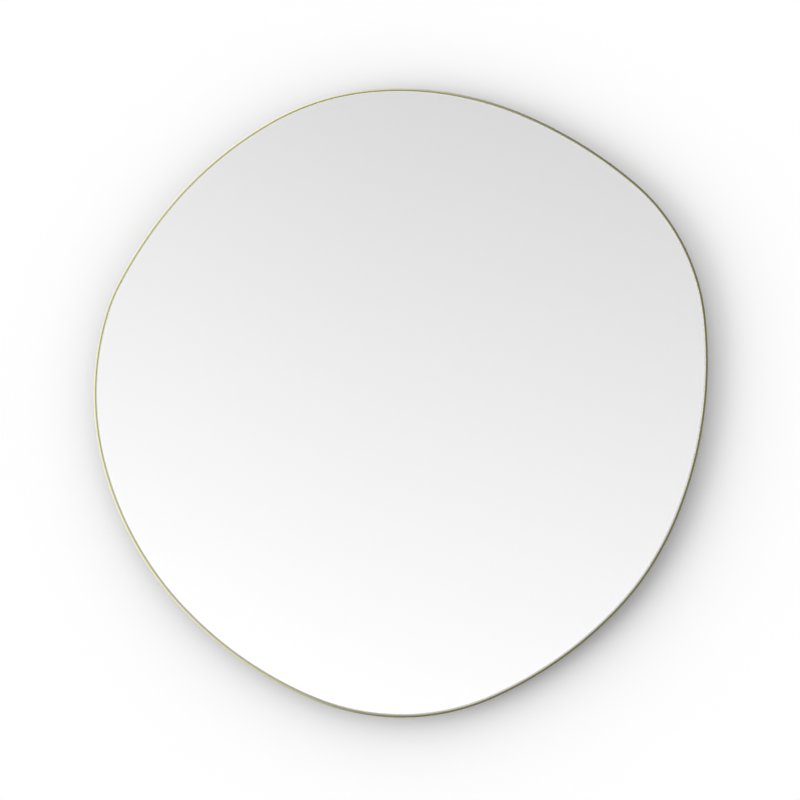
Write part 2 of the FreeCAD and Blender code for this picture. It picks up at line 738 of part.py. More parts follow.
def make_washer(corner, x, z):
    body = new_body(f"bumper_washer_{corner}")
    place_at(body, x=x, y=f"-({BOARD_BACK} - sizes.bumper_seat)", z=z)
    corners = [
        (HOLE_RADIUS, "0"),
        ("sizes.washer_radius", "0"),
        ("sizes.washer_radius", "sizes.washer_thickness"),
        (HOLE_RADIUS, "sizes.washer_thickness"),
    ]
    revolve(body, polygon(new_sketch(body, "profile", "XY_Plane"), corners))
    parts[body.Name] = body


def make_bumpers():
    for corner, (x, z) in bumper_spots().items():
        make_bumper(corner, x, z)
        make_washer(corner, x, z)


make_band()
make_glass()
make_silver()
make_tape()
make_adhesive()
make_board()
make_lugs()
make_screws()
make_hangers()
make_bumpers()
doc.recompute()

for item in doc.Objects:
    if "Invalid" in item.State or "Error" in item.State:
        raise RuntimeError(f"{item.Name} failed: {item.State}")
for name, item in parts.items():
    if item.Shape.isNull() or not item.Shape.isValid() or len(item.Shape.Solids) != 1:
        raise RuntimeError(f"{name} is not one valid solid")

os.makedirs("parts", exist_ok=True)
for name, item in parts.items():
    item.Label = name
    item.Shape.exportStep(f"parts/{name}.step")
print(f"{len(parts)} parts written")
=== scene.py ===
"""Finishes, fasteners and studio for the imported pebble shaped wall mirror.

Every length in the code is in metres, unless its name or comment says millimetres. The frame is the CAD
model's own: +Z up, +X to the right as seen from the front, the wall at Y = 0 and the mirror facing -Y.
"""

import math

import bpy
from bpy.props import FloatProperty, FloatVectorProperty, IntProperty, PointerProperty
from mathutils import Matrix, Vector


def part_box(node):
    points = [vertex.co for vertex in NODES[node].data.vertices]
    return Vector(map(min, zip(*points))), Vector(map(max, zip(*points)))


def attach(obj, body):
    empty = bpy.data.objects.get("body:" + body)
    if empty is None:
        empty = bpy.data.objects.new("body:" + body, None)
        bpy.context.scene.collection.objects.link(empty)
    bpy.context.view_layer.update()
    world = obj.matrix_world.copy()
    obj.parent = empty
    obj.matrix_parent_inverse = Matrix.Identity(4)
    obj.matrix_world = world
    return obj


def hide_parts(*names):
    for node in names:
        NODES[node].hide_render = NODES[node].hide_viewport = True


bl_info = {
    "name": "Pebble Wall Mirror",
    "version": (1, 0, 0),
    "blender": (4, 5, 0),
    "location": "3D View > Sidebar > Mirror",
    "description": "Builds the finishes, fasteners and studio of a pebble shaped wall mirror",
    "category": "Object",
}

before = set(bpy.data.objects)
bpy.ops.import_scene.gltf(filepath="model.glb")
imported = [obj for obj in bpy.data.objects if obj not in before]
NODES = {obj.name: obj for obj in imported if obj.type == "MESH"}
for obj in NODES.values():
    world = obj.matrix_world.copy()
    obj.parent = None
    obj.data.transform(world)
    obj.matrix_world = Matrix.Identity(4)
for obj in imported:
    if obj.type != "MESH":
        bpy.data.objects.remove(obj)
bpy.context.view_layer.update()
MIRROR = "mirror"
MM = 0.001

# The hoop's outer edge stands square to the line from the middle at nine places, anticlockwise as seen
# from the front. Each has its turn from the place before, in degrees, and how far it swells out past the
# base radius, in millimetres. Two arcs that touch, with half of the turn each, join it to the next.
BASE_RADIUS = 390
PLACES = {
    "right": (-21, -9.5),
    "shoulder": (54, 22.5),
    "brow": (34, 8.5),
    "crown": (30, 9.5),
    "upper_left": (45, -4),
    "left": (21, 2),
    "lower_left": (60, -8),
    "foot": (48, 10),
    "lower_right": (46, -8.5),
}
OUTLINE_STEPS = 720  # points round the outline, for the hoop's sweep and the sheets

LUG_PLACES = ("right", "shoulder", "crown", "left", "lower_left", "foot")
SIDES = ("left", "right")
CORNERS = ("upper_left", "upper_right", "lower_left", "lower_right")
LUG_SCREWS = [f"lug_screw_{place}" for place in LUG_PLACES]
HANGER_SCREWS = [f"hanger_screw_{side}_{level}" for side in SIDES for level in ("upper", "lower")]
BUMPER_SCREWS = [f"bumper_screw_{corner}" for corner in CORNERS]


def lowest(node):
    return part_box(node)[0]


def highest(node):
    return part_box(node)[1]


# Depths in front of the wall, read from the frame.
HOOP_BACK = -highest("frame_band").y
HOOP_FRONT = -lowest("frame_band").y
GLASS_FRONT = -lowest("mirror_glass").y
GLASS_BACK = -highest("mirror_glass").y
SILVER_BACK = -highest("silver_backing").y
SILVER_GAP = 0.02 * MM  # keeps the silver's face apart from the glass's back

# Insets from the hoop's outer edge, which is furthest right at the same height as each sheet's edge.
HOOP_RIGHT = highest("frame_band").x
HOOP_WALL = 3.5 * MM
GLASS_INSET = HOOP_RIGHT - highest("mirror_glass").x


def unit(angle):
    return Vector((math.cos(angle), math.sin(angle)))


def place_angles():
    """The direction that each place faces."""
    angles, angle = {}, 0
    for place, (turn, _) in PLACES.items():
        angle += math.radians(turn)
        angles[place] = angle
    return angles


PLACE_ANGLES = place_angles()


def outline_arcs():
    """The arcs of the hoop's outer edge, each (centre, radius, first angle, last angle)."""
    spots, angle = [], 0
    for turn, swell in PLACES.values():
        angle += math.radians(turn)
        spots.append((angle, (BASE_RADIUS + swell) * MM))
    spots.append((spots[0][0] + math.tau, spots[0][1]))
    arcs = []
    for (first, near), (last, far) in zip(spots, spots[1:]):
        middle = (first + last) / 2
        chord = unit(last) * far - unit(first) * near
        u, w = unit(middle) - unit(first), unit(last) - unit(middle)
        scale = u.cross(w)
        radius_1, radius_2 = chord.cross(w) / scale, u.cross(chord) / scale
        arcs.append((unit(first) * (near - radius_1), radius_1, first, middle))
        arcs.append((unit(last) * (far - radius_2), radius_2, middle, last))
    return arcs


ARCS = outline_arcs()


def on_outline(angle, inset=0.0):
    """The point, as (x, z), where the outline drawn in by inset faces along an angle."""
    angle = (angle - ARCS[0][2]) % math.tau + ARCS[0][2]
    centre, radius, _, _ = next(arc for arc in ARCS if angle <= arc[3] + 1e-9)
    return centre + unit(angle) * (radius - inset)


def outline_points(inset=0.0, count=OUTLINE_STEPS):
    """The whole outline, drawn in by inset, as points evenly spaced in direction."""
    return [on_outline(ARCS[0][2] + math.tau * step / count, inset) for step in range(count)]


def check_outline():
    """Stop if the outline above isn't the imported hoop's."""
    points = outline_points()
    low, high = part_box("frame_band")
    across, up = [p.x for p in points], [p.y for p in points]
    reach = [min(across), min(up), max(across), max(up)]
    packed = [low.x, low.z, high.x, high.z]
    worst = max(abs(a - b) for a, b in zip(reach, packed))
    if worst > 0.3 * MM:
        raise RuntimeError(f"the outline is {worst / MM:.2f} mm off the packed hoop")


# ---------------------------------------------------------------- node trees


def put(tree, kind, wires=None, **settings):
    """A new node. settings are its properties, and wires maps its inputs to sockets or plain values."""
    node = tree.nodes.new(kind)
    for name, setting in settings.items():
        setattr(node, name, setting)
    for key, source in (wires or {}).items():
        socket = node.inputs[key]
        if isinstance(source, bpy.types.NodeSocket):
            tree.links.new(source, socket)
        else:
            socket.default_value = source
    return node


def sums(tree, operation, *terms):
    """The value of a Math node."""
    return put(tree, "ShaderNodeMath", dict(enumerate(terms)), operation=operation).outputs[0]


def ramp(tree, source, low, high, to_low=0.0, to_high=1.0, smooth=False):
    """source taken from the range low to high into the range to_low to to_high, and held there."""
    wires = {0: source, 1: low, 2: high, 3: to_low, 4: to_high}
    kind = "SMOOTHSTEP" if smooth else "LINEAR"
    return put(tree, "ShaderNodeMapRange", wires, interpolation_type=kind).outputs[0]


def blend_colours(tree, share, first, second):
    wires = {0: share, 6: first, 7: second}
    return put(tree, "ShaderNodeMix", wires, data_type="RGBA").outputs[2]


SOCKETS = {
    "value": "NodeSocketFloat", "vector": "NodeSocketVector", "count": "NodeSocketInt",
    "object": "NodeSocketObject", "geometry": "NodeSocketGeometry", "material": "NodeSocketMaterial",
}


def new_group(name, kind, inputs, outputs):
    """An empty node group. inputs and outputs map each socket's name to its form, or to (form, default)."""
    group = bpy.data.node_groups.new(name, kind)
    for side, wanted in (("INPUT", inputs), ("OUTPUT", outputs)):
        for label, form in wanted.items():
            form, default = form if isinstance(form, tuple) else (form, None)
            socket = group.interface.new_socket(label, in_out=side, socket_type=SOCKETS[form])
            if default is not None:
                socket.default_value = default
    return group, put(group, "NodeGroupInput").outputs, put(group, "NodeGroupOutput").inputs


# ---------------------------------------------------------------- shader node groups


def brushing():
    """Fine lines that a brush leaves along one way of the surface."""
    group, given, made = new_group(
        "Brushing", "ShaderNodeTree",
        {"Vector": "vector", "Line Width": ("value", 0.0002), "Line Length": ("value", 0.03)},
        {"Lines": "value", "Broad Lines": "value"},
    )
    across = put(group, "ShaderNodeSeparateXYZ", {0: given["Vector"]}).outputs
    fine = put(group, "ShaderNodeCombineXYZ", {
        0: sums(group, "DIVIDE", across[0], given["Line Length"]),
        1: sums(group, "DIVIDE", across[1], given["Line Width"]),
        2: sums(group, "DIVIDE", across[2], given["Line Length"]),
    }).outputs[0]
    lines = put(group, "ShaderNodeTexNoise", {"Vector": fine, "Scale": 1.0, "Detail": 2.0, "Roughness": 0.6})
    broad = put(group, "ShaderNodeTexNoise", {"Vector": fine, "Scale": 0.22, "Detail": 1.0})
    group.links.new(ramp(group, lines.outputs[0], 0.3, 0.7), made["Lines"])
    group.links.new(ramp(group, broad.outputs[0], 0.3, 0.7), made["Broad Lines"])
    return group


def handling():
    """Faint smudges and wipe marks, for roughness, at two sizes."""
    group, given, made = new_group(
        "Handling", "ShaderNodeTree",
        {"Vector": "vector", "Size": ("value", 0.05)},
        {"Smudges": "value"},
    )
    scale = sums(group, "DIVIDE", 1.0, given["Size"])
    wires = {"Vector": given["Vector"], "Scale": scale, "Detail": 4.0, "Roughness": 0.55, "Distortion": 0.6}
    noise = put(group, "ShaderNodeTexNoise", wires)
    group.links.new(ramp(group, noise.outputs[0], 0.35, 0.7, smooth=True), made["Smudges"])
    return group


def settled_dust():
    """Dust on what faces up, thicker in patches."""
    group, given, made = new_group(
        "Settled Dust", "ShaderNodeTree",
        {"Vector": "vector", "Up": ("value", 0.0), "Amount": ("value", 0.3)},
        {"Dust": "value"},
    )
    wires = {"Vector": given["Vector"], "Scale": 220.0, "Detail": 5.0, "Roughness": 0.7}
    patches = ramp(group, put(group, "ShaderNodeTexNoise", wires).outputs[0], 0.35, 0.7)
    facing = ramp(group, given["Up"], 0.35, 0.95, smooth=True)
    dust = sums(group, "MULTIPLY", sums(group, "MULTIPLY", patches, facing), given["Amount"])
    group.links.new(dust, made["Dust"])
    return group


GROUP_MAKERS = {"Brushing": brushing, "Handling": handling, "Settled Dust": settled_dust}


def place_group(tree, name, wires):
    """A copy of a shader node group in a tree, made the first time that it is asked for."""
    node = put(tree, "ShaderNodeGroup")
    node.node_tree = bpy.data.node_groups.get(name) or GROUP_MAKERS[name]()
    for key, source in wires.items():
        if isinstance(source, bpy.types.NodeSocket):
            tree.links.new(source, node.inputs[key])
        else:
            node.inputs[key].default_value = source
    return node.outputs


# ---------------------------------------------------------------- materials


def new_material(name, **settings):
    """A material, its tree, its Principled shader's inputs and its coordinates.

    settings are the shader's plain values.
    """
    material = bpy.data.materials.new(name)
    material.use_nodes = True
    tree = material.node_tree
    shader = tree.nodes["Principled BSDF"]
    for key, value in settings.items():
        shader.inputs[key.replace("_", " ")].default_value = value
    coords = put(tree, "ShaderNodeTexCoord").outputs
    return material, tree, shader.inputs, coords


def bump(tree, height, distance, strength=1.0):
    wires = {"Height": height, "Distance": distance, "Strength": strength}
    return put(tree, "ShaderNodeBump", wires).outputs[0]


def rgba(colour):
    return (*colour, 1.0)


def shade(colour, factor):
    return (*(channel * factor for channel in colour), 1.0)


def brass_finish(name, colour, along_hoop):
    """Satin brass. On the hoop the brushing runs along the bar, by its attribute of place across the bar."""
    material, tree, shader, coords = new_material(name, Metallic=1.0)
    vector = coords["Object"]
    if along_hoop:
        place = put(tree, "ShaderNodeSeparateXYZ", {0: vector}).outputs
        across = put(tree, "ShaderNodeAttribute", attribute_name="across").outputs["Fac"]
        vector = put(tree, "ShaderNodeCombineXYZ", {0: place[0], 1: across, 2: place[2]}).outputs[0]
    lines = place_group(tree, "Brushing", {"Vector": vector, "Line Width": 0.00022, "Line Length": 0.035})
    smudges = place_group(tree, "Handling", {"Vector": coords["Object"], "Size": 0.06})["Smudges"]
    tone = blend_colours(tree, lines["Broad Lines"], shade(colour, 0.93), shade(colour, 1.04))
    warm = (colour[0] * 0.95, colour[1] * 0.9, colour[2] * 0.8, 1.0)
    tarnish = sums(tree, "MULTIPLY", smudges, 0.22)
    tree.links.new(blend_colours(tree, tarnish, tone, warm), shader["Base Color"])
    rough = ramp(tree, lines["Lines"], 0, 1, 0.13, 0.2)
    rough = sums(tree, "ADD", rough, sums(tree, "MULTIPLY", smudges, 0.05))
    tree.links.new(rough, shader["Roughness"])
    tree.links.new(bump(tree, lines["Lines"], 0.00001, 0.5), shader["Normal"])
    return material


def glass_finish():
    """Clear float glass with a polished edge, and the faintest smudges on it."""
    material, tree, shader, coords = new_material(
        "clear_float_glass", Base_Color=(1, 1, 1, 1), Transmission_Weight=1.0, IOR=1.52, Metallic=0.0)
    smudges = place_group(tree, "Handling", {"Vector": coords["Object"], "Size": 0.09})["Smudges"]
    tree.links.new(ramp(tree, smudges, 0.55, 1.0, 0.0, 0.012, smooth=True), shader["Roughness"])
    return material


def silver_finish():
    """Silver as seen through the glass, and the grey paint and film on its back and edge."""
    material, tree, shader, coords = new_material("silvering", Specular_IOR_Level=0.4)
    facing = put(tree, "ShaderNodeSeparateXYZ", {0: coords["Normal"]}).outputs[1]
    front = sums(tree, "LESS_THAN", facing, -0.9)
    wires = {"Vector": coords["Object"], "Scale": 900.0, "Detail": 3.0}
    noise = put(tree, "ShaderNodeTexNoise", wires).outputs[0]
    paint = blend_colours(tree, noise, (0.2, 0.22, 0.23, 1), (0.27, 0.29, 0.3, 1))
    tree.links.new(blend_colours(tree, front, paint, (0.955, 0.955, 0.955, 1)), shader["Base Color"])
    tree.links.new(front, shader["Metallic"])
    tree.links.new(ramp(tree, front, 0, 1, 0.5, 0.0), shader["Roughness"])
    return material


def board_finish(colour):
    material, tree, shader, coords = new_material("raw_mdf", Specular_IOR_Level=0.25)
    fibres = put(tree, "ShaderNodeTexNoise", {
        "Vector": coords["Object"], "Scale": 1400.0, "Detail": 6.0, "Roughness": 0.75, "Distortion": 1.2})
    patches = put(tree, "ShaderNodeTexNoise", {"Vector": coords["Object"], "Scale": 28.0, "Detail": 3.0})
    mottle = ramp(tree, fibres.outputs[0], 0.3, 0.7)
    tone = blend_colours(tree, mottle, shade(colour, 0.72), shade(colour, 1.12))
    patchy = ramp(tree, patches.outputs[0], 0.35, 0.7, 0.0, 0.3)
    tone = blend_colours(tree, patchy, tone, shade(colour, 0.86))
    tree.links.new(tone, shader["Base Color"])
    tree.links.new(ramp(tree, fibres.outputs[0], 0.3, 0.7, 0.72, 0.85), shader["Roughness"])
    tree.links.new(bump(tree, fibres.outputs[0], 0.00012, 0.6), shader["Normal"])
    return material


def plated_finish(name, colour, roughness, line_width):
    """Plated steel, with the faint lines of its rolling or turning and a little dust on what faces up."""
    material, tree, shader, coords = new_material(name)
    up = put(tree, "ShaderNodeSeparateXYZ", {0: coords["Normal"]}).outputs[2]
    dust = place_group(tree, "Settled Dust", {"Vector": coords["Object"], "Up": up, "Amount": 0.35})["Dust"]
    lines = place_group(tree, "Brushing", {
        "Vector": coords["Object"], "Line Width": line_width, "Line Length": line_width * 12})
    smudges = place_group(tree, "Handling", {"Vector": coords["Object"], "Size": 0.008})["Smudges"]
    tone = blend_colours(tree, smudges, shade(colour, 0.88), rgba(colour))
    tree.links.new(blend_colours(tree, dust, tone, (0.45, 0.43, 0.4, 1)), shader["Base Color"])
    tree.links.new(sums(tree, "SUBTRACT", 1.0, dust), shader["Metallic"])
    rough = sums(tree, "ADD", ramp(tree, lines["Lines"], 0, 1, roughness - 0.05, roughness + 0.05),
                 sums(tree, "MULTIPLY", smudges, 0.08))
    tree.links.new(sums(tree, "ADD", rough, sums(tree, "MULTIPLY", dust, 0.5)), shader["Roughness"])
    tree.links.new(bump(tree, lines["Broad Lines"], 0.00001, 0.4), shader["Normal"])
    return material


def rubber_finish(colour):
    material, tree, shader, coords = new_material("moulded_rubber", Specular_IOR_Level=0.35)
    up = put(tree, "ShaderNodeSeparateXYZ", {0: coords["Normal"]}).outputs[2]
    dust = place_group(tree, "Settled Dust", {"Vector": coords["Object"], "Up": up, "Amount": 0.6})["Dust"]
    wires = {"Vector": coords["Object"], "Scale": 2600.0, "Detail": 3.0}
    grain = put(tree, "ShaderNodeTexNoise", wires).outputs[0]
    tone = blend_colours(tree, grain, shade(colour, 0.8), shade(colour, 1.25))
    tree.links.new(blend_colours(tree, dust, tone, (0.32, 0.3, 0.28, 1)), shader["Base Color"])
    tree.links.new(ramp(tree, grain, 0.3, 0.7, 0.5, 0.68), shader["Roughness"])
    tree.links.new(bump(tree, grain, 0.00003, 0.5), shader["Normal"])
    return material


def soft_finish(name, colour, grain_size):
    """Foam and adhesive: a matt skin with fine cells."""
    material, tree, shader, coords = new_material(name, Roughness=0.8, Specular_IOR_Level=0.2)
    wires = {"Vector": coords["Object"], "Scale": 1 / grain_size}
    cells = put(tree, "ShaderNodeTexVoronoi", wires).outputs[0]
    tree.links.new(blend_colours(tree, cells, shade(colour, 0.8), rgba(colour)), shader["Base Color"])
    tree.links.new(bump(tree, cells, grain_size / 4, 0.4), shader["Normal"])
    return material


# ---------------------------------------------------------------- geometry trees and meshes


def grow(name, tree, mesh, values):
    """Run a geometry tree on a starting mesh, and keep the result as a plain mesh object."""
    piece = bpy.data.objects.new(name, mesh)
    bpy.context.scene.collection.objects.link(piece)
    modifier = piece.modifiers.new(tree.name, "NODES")
    modifier.node_group = tree
    inputs = [item for item in tree.interface.items_tree if item.in_out == "INPUT"]
    sockets = {item.name: item.identifier for item in inputs}
    for label, value in values.items():
        modifier[sockets[label]] = value
    return settle(piece)


def apply_modifiers(piece):
    """Replace a piece's mesh with what its modifiers make of it, and take them off."""
    depsgraph = bpy.context.evaluated_depsgraph_get()
    finished = bpy.data.meshes.new_from_object(piece.evaluated_get(depsgraph), depsgraph=depsgraph)
    piece.modifiers.clear()
    start, piece.data = piece.data, finished
    bpy.data.meshes.remove(start)
    finished.name = piece.name


def settle(piece, sharp_angle=35):
    """Make a piece a plain mesh with even shading, its edges sharp past an angle in degrees."""
    apply_modifiers(piece)
    piece.data.polygons.foreach_set("use_smooth", [True] * len(piece.data.polygons))
    piece.data.set_sharp_from_angle(angle=math.radians(sharp_angle))
    piece.modifiers.new("even_shading", "WEIGHTED_NORMAL").keep_sharp = True
    apply_modifiers(piece)
    return piece


def hoop_tree():
    """A bar, rounded at its four edges, swept round the outline and stood up to face the front."""
    tree, given, made = new_group(
        "Hoop Bar", "GeometryNodeTree",
        {"Outline": "geometry", "Wall": "value", "Depth": "value", "Wall Gap": "value",
         "Outer Round": "value", "Inner Round": "value", "Back Round": "value", "Material": "material"},
        {"Geometry": "geometry"},
    )
    path = put(tree, "GeometryNodeMeshToCurve", {0: given["Outline"]}).outputs[0]
    path = put(tree, "GeometryNodeSetCurveNormal", {0: path}, mode="Z_UP").outputs[0]
    bar = put(tree, "GeometryNodeCurvePrimitiveQuadrilateral",
              {"Width": given["Wall"], "Height": given["Depth"]}).outputs[0]
    position = put(tree, "GeometryNodeInputPosition").outputs[0]
    corner = put(tree, "ShaderNodeSeparateXYZ", {0: position}).outputs
    outer = sums(tree, "GREATER_THAN", corner[0], 0.0)
    front = sums(tree, "LESS_THAN", corner[1], 0.0)
    radius = ramp(tree, outer, 0.0, 1.0, given["Inner Round"], given["Outer Round"])
    radius = ramp(tree, front, 0.0, 1.0, given["Back Round"], radius)
    wires = {0: bar, "Count": 9, "Radius": radius}
    bar = put(tree, "GeometryNodeFilletCurve", wires, mode="POLY").outputs[0]
    capture = put(tree, "GeometryNodeCaptureAttribute")
    capture.capture_items.new("FLOAT", "Length")
    tree.links.new(bar, capture.inputs[0])
    tree.links.new(put(tree, "GeometryNodeSplineParameter").outputs["Length"], capture.inputs[1])
    middle = sums(tree, "ADD", given["Wall Gap"], sums(tree, "DIVIDE", given["Depth"], 2.0))
    shift = put(tree, "ShaderNodeCombineXYZ", {
        0: sums(tree, "DIVIDE", given["Wall"], -2.0),
        1: sums(tree, "MULTIPLY", middle, -1.0),
    }).outputs[0]
    bar = put(tree, "GeometryNodeSetPosition", {0: capture.outputs[0], "Offset": shift}).outputs[0]
    swept = put(tree, "GeometryNodeCurveToMesh", {0: path, 1: bar}).outputs[0]
    stored = put(tree, "GeometryNodeStoreNamedAttribute",
                 {0: swept, "Name": "across", "Value": capture.outputs[1]}, data_type="FLOAT", domain="POINT")
    upright = put(tree, "GeometryNodeTransform", {0: stored.outputs[0], "Rotation": (math.pi / 2, 0, 0)})
    real = put(tree, "GeometryNodeRealizeInstances", {0: upright.outputs[0]})
    coated = put(tree, "GeometryNodeSetMaterial", {0: real.outputs[0], "Material": given["Material"]})
    tree.links.new(coated.outputs[0], made["Geometry"])
    return tree


def weld_tree():
    """Round weld beads along paths, with the ripples that each drop leaves, tapering at both ends."""
    tree, given, made = new_group(
        "Weld Beads", "GeometryNodeTree",
        {"Paths": "geometry", "Bead Radius": "value", "Ripple": "value", "Ripple Height": "value",
         "Material": "material"},
        {"Geometry": "geometry"},
    )
    path = put(tree, "GeometryNodeMeshToCurve", {0: given["Paths"]}).outputs[0]
    step = sums(tree, "DIVIDE", given["Ripple"], 6.0)
    path = put(tree, "GeometryNodeResampleCurve", {0: path, "Length": step}, mode="LENGTH").outputs[0]
    along = put(tree, "GeometryNodeSplineParameter").outputs
    ripple = sums(tree, "FRACT", sums(tree, "DIVIDE", along["Length"], given["Ripple"]))
    ripple = sums(tree, "SINE", sums(tree, "MULTIPLY", ripple, math.pi))
    ripple = sums(tree, "MULTIPLY", ripple, given["Ripple Height"])
    ends = sums(tree, "MULTIPLY", sums(tree, "ABSOLUTE", sums(tree, "SUBTRACT", along["Factor"], 0.5)), 2.0)
    taper = ramp(tree, ends, 0.86, 1.0, 1.0, 0.45, smooth=True)
    scale = sums(tree, "MULTIPLY", sums(tree, "ADD", 1.0, ripple), taper)
    wobble = put(tree, "ShaderNodeTexNoise", {"Scale": 700.0, "Detail": 1.0}).outputs[0]
    scale = sums(tree, "MULTIPLY", scale, ramp(tree, wobble, 0.3, 0.7, 0.93, 1.07))
    wires = {"Resolution": 14, "Radius": given["Bead Radius"]}
    bead = put(tree, "GeometryNodeCurvePrimitiveCircle", wires).outputs[0]
    wires = {0: path, 1: bead, "Scale": scale, "Fill Caps": True}
    swept = put(tree, "GeometryNodeCurveToMesh", wires).outputs[0]
    real = put(tree, "GeometryNodeRealizeInstances", {0: swept})
    coated = put(tree, "GeometryNodeSetMaterial", {0: real.outputs[0], "Material": given["Material"]})
    tree.links.new(coated.outputs[0], made["Geometry"])
    return tree


def screw_tree():
    """One screw on each point, turned at random about its own axis."""
    tree, given, made = new_group(
        "Screw Set", "GeometryNodeTree",
        {"Places": "geometry", "Screw": "object", "Seed": "count", "Material": "material"},
        {"Geometry": "geometry"},
    )
    screw = put(tree, "GeometryNodeObjectInfo", {"Object": given["Screw"]}).outputs["Geometry"]
    spin = put(tree, "FunctionNodeRandomValue", {3: math.tau, "Seed": given["Seed"]}, data_type="FLOAT")
    turned = put(tree, "ShaderNodeCombineXYZ", {0: -math.pi / 2, 1: spin.outputs[1]}).outputs[0]
    turned = put(tree, "FunctionNodeEulerToRotation", {0: turned}).outputs[0]
    wires = {0: given["Places"], "Instance": screw, "Rotation": turned}
    driven = put(tree, "GeometryNodeInstanceOnPoints", wires)
    real = put(tree, "GeometryNodeRealizeInstances", {0: driven.outputs[0]})
    coated = put(tree, "GeometryNodeSetMaterial", {0: real.outputs[0], "Material": given["Material"]})
    tree.links.new(coated.outputs[0], made["Geometry"])
    return tree


def path_mesh(name, *paths, closed=False):
    """Runs of edges through points."""
    mesh = bpy.data.meshes.new(name)
    points, edges = [], []
    for path in paths:
        start, count = len(points), len(path)
        points += [tuple(p.to_3d()) for p in path]
        edges += [(start + n, start + n + 1) for n in range(count - 1)]
        if closed:
            edges.append((start + count - 1, start))
    mesh.from_pydata(points, edges, [])
    return mesh


def lathe(name, rings, segments=32):
    """A closed turned solid about Z. Each ring is (height, radius), or (height, function of the angle)."""
    vertices, faces = [], []
    for height, radius in rings:
        for n in range(segments):
            angle = math.tau * n / segments
            reach = radius(angle) if callable(radius) else radius
            vertices.append((reach * math.cos(angle), reach * math.sin(angle), height))
    for ring in range(len(rings) - 1):
        low = ring * segments
        for n in range(segments):
            m = (n + 1) % segments
            faces.append((low + n, low + m, low + segments + m, low + segments + n))
    faces.append(tuple(reversed(range(segments))))
    faces.append(tuple(range(len(vertices) - segments, len(vertices))))
    mesh = bpy.data.meshes.new(name)
    mesh.from_pydata(vertices, [], faces)
    return mesh


def screw_blank(name, length, shank, sizes, material):
    """A pan head screw with its underside at the origin, its head up and a cross recess in it."""
    head, height, pitch = sizes.head_radius, sizes.head_height, sizes.pitch
    tip, point = -length, 2.2 * shank

    def thread(z):
        """The radius at a depth z, as a function of the angle: a ridge that climbs one pitch a turn."""
        narrow = min(1.0, max(0.12, (z - tip) / point))

        def reach(angle):
            ridge = abs(((z / pitch - angle / math.tau) % 1.0) * 2 - 1)
            return narrow * shank * (0.74 + 0.26 * max(0.0, 2 * ridge - 1))

        return reach

    steps = int(length / pitch * 7)
    heights = [tip, *(tip + (length - 0.4 * MM) * n / steps for n in range(1, steps))]
    rings = [(z, thread(z)) for z in heights]
    rings += [(-0.3 * MM, 0.78 * shank), (0, 0.95 * shank), (0, head - 0.15 * MM), (0.15 * MM, head)]
    rings += [(height * 0.5, head)]
    for n in range(1, 8):
        angle = math.pi / 2 * n / 8
        rings.append((height * (0.5 + 0.42 * math.sin(angle)), head - 0.3 * head * (1 - math.cos(angle))))
    rings += [(height * 0.975, head * 0.5), (height, head * 0.12)]
    blank = bpy.data.objects.new(name, lathe(name, rings))
    blank.data.materials.append(material)
    bpy.context.scene.collection.objects.link(blank)
    cutters = []
    for turn in (0, math.pi / 2):
        cutter = bpy.data.objects.new("recess", recess_wedge(sizes, turn))
        bpy.context.scene.collection.objects.link(cutter)
        cut = blank.modifiers.new("recess", "BOOLEAN")
        cut.object, cut.operation, cut.solver = cutter, "DIFFERENCE", "EXACT"
        cutters.append(cutter)
    settle(blank, sharp_angle=40)
    for cutter in cutters:
        bpy.data.objects.remove(cutter)
    return blank


def recess_wedge(sizes, turn):
    """One bar of the cross recess, narrower and thinner towards its bottom."""
    mesh = bpy.data.meshes.new("recess")
    cos, sin = math.cos(turn), math.sin(turn)
    vertices = []
    ends = ((sizes.head_height * 1.1, 0.62, 0.17), (sizes.head_height * 0.3, 0.24, 0.1))
    for height, long, wide in ends:
        for side_x, side_y in ((-1, -1), (1, -1), (1, 1), (-1, 1)):
            x, y = side_x * long * sizes.head_radius, side_y * wide * sizes.head_radius
            turned = (x * cos - y * sin, x * sin + y * cos)
            vertices.append((*turned, height))
    faces = [(0, 1, 2, 3), (7, 6, 5, 4), (0, 4, 5, 1), (1, 5, 6, 2), (2, 6, 7, 3), (3, 7, 4, 0)]
    mesh.from_pydata(vertices, [], faces)
    return mesh


def sheet_piece(name, rings, material):
    """A flat sheet through rings, each (inset, depth in front of the wall), from its front to its back."""
    count = OUTLINE_STEPS
    vertices, faces = [], []
    for inset, depth in rings:
        vertices += [(p.x, -depth, p.y) for p in outline_points(inset, count)]
    for ring in range(len(rings) - 1):
        start = ring * count
        for n in range(count):
            m = (n + 1) % count
            faces.append((start + n, start + count + n, start + count + m, start + m))
    faces.append(tuple(range(count)))
    faces.append(tuple(reversed(range(len(vertices) - count, len(vertices)))))
    mesh = bpy.data.meshes.new(name)
    mesh.from_pydata(vertices, [], faces)
    mesh.materials.append(material)
    piece = bpy.data.objects.new(name, mesh)
    bpy.context.scene.collection.objects.link(piece)
    return settle(piece)


def ride_for(piece, slot, *nodes, body=MIRROR):
    """Let a piece stand for CAD nodes, which are hidden, and ride on their body. The slot is not used."""
    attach(piece, body)
    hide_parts(*nodes)


def coat(material, *names):
    """Give CAD nodes their finish."""
    for name in names:
        NODES[name].material_slots[0].material = material


# ---------------------------------------------------------------- settings


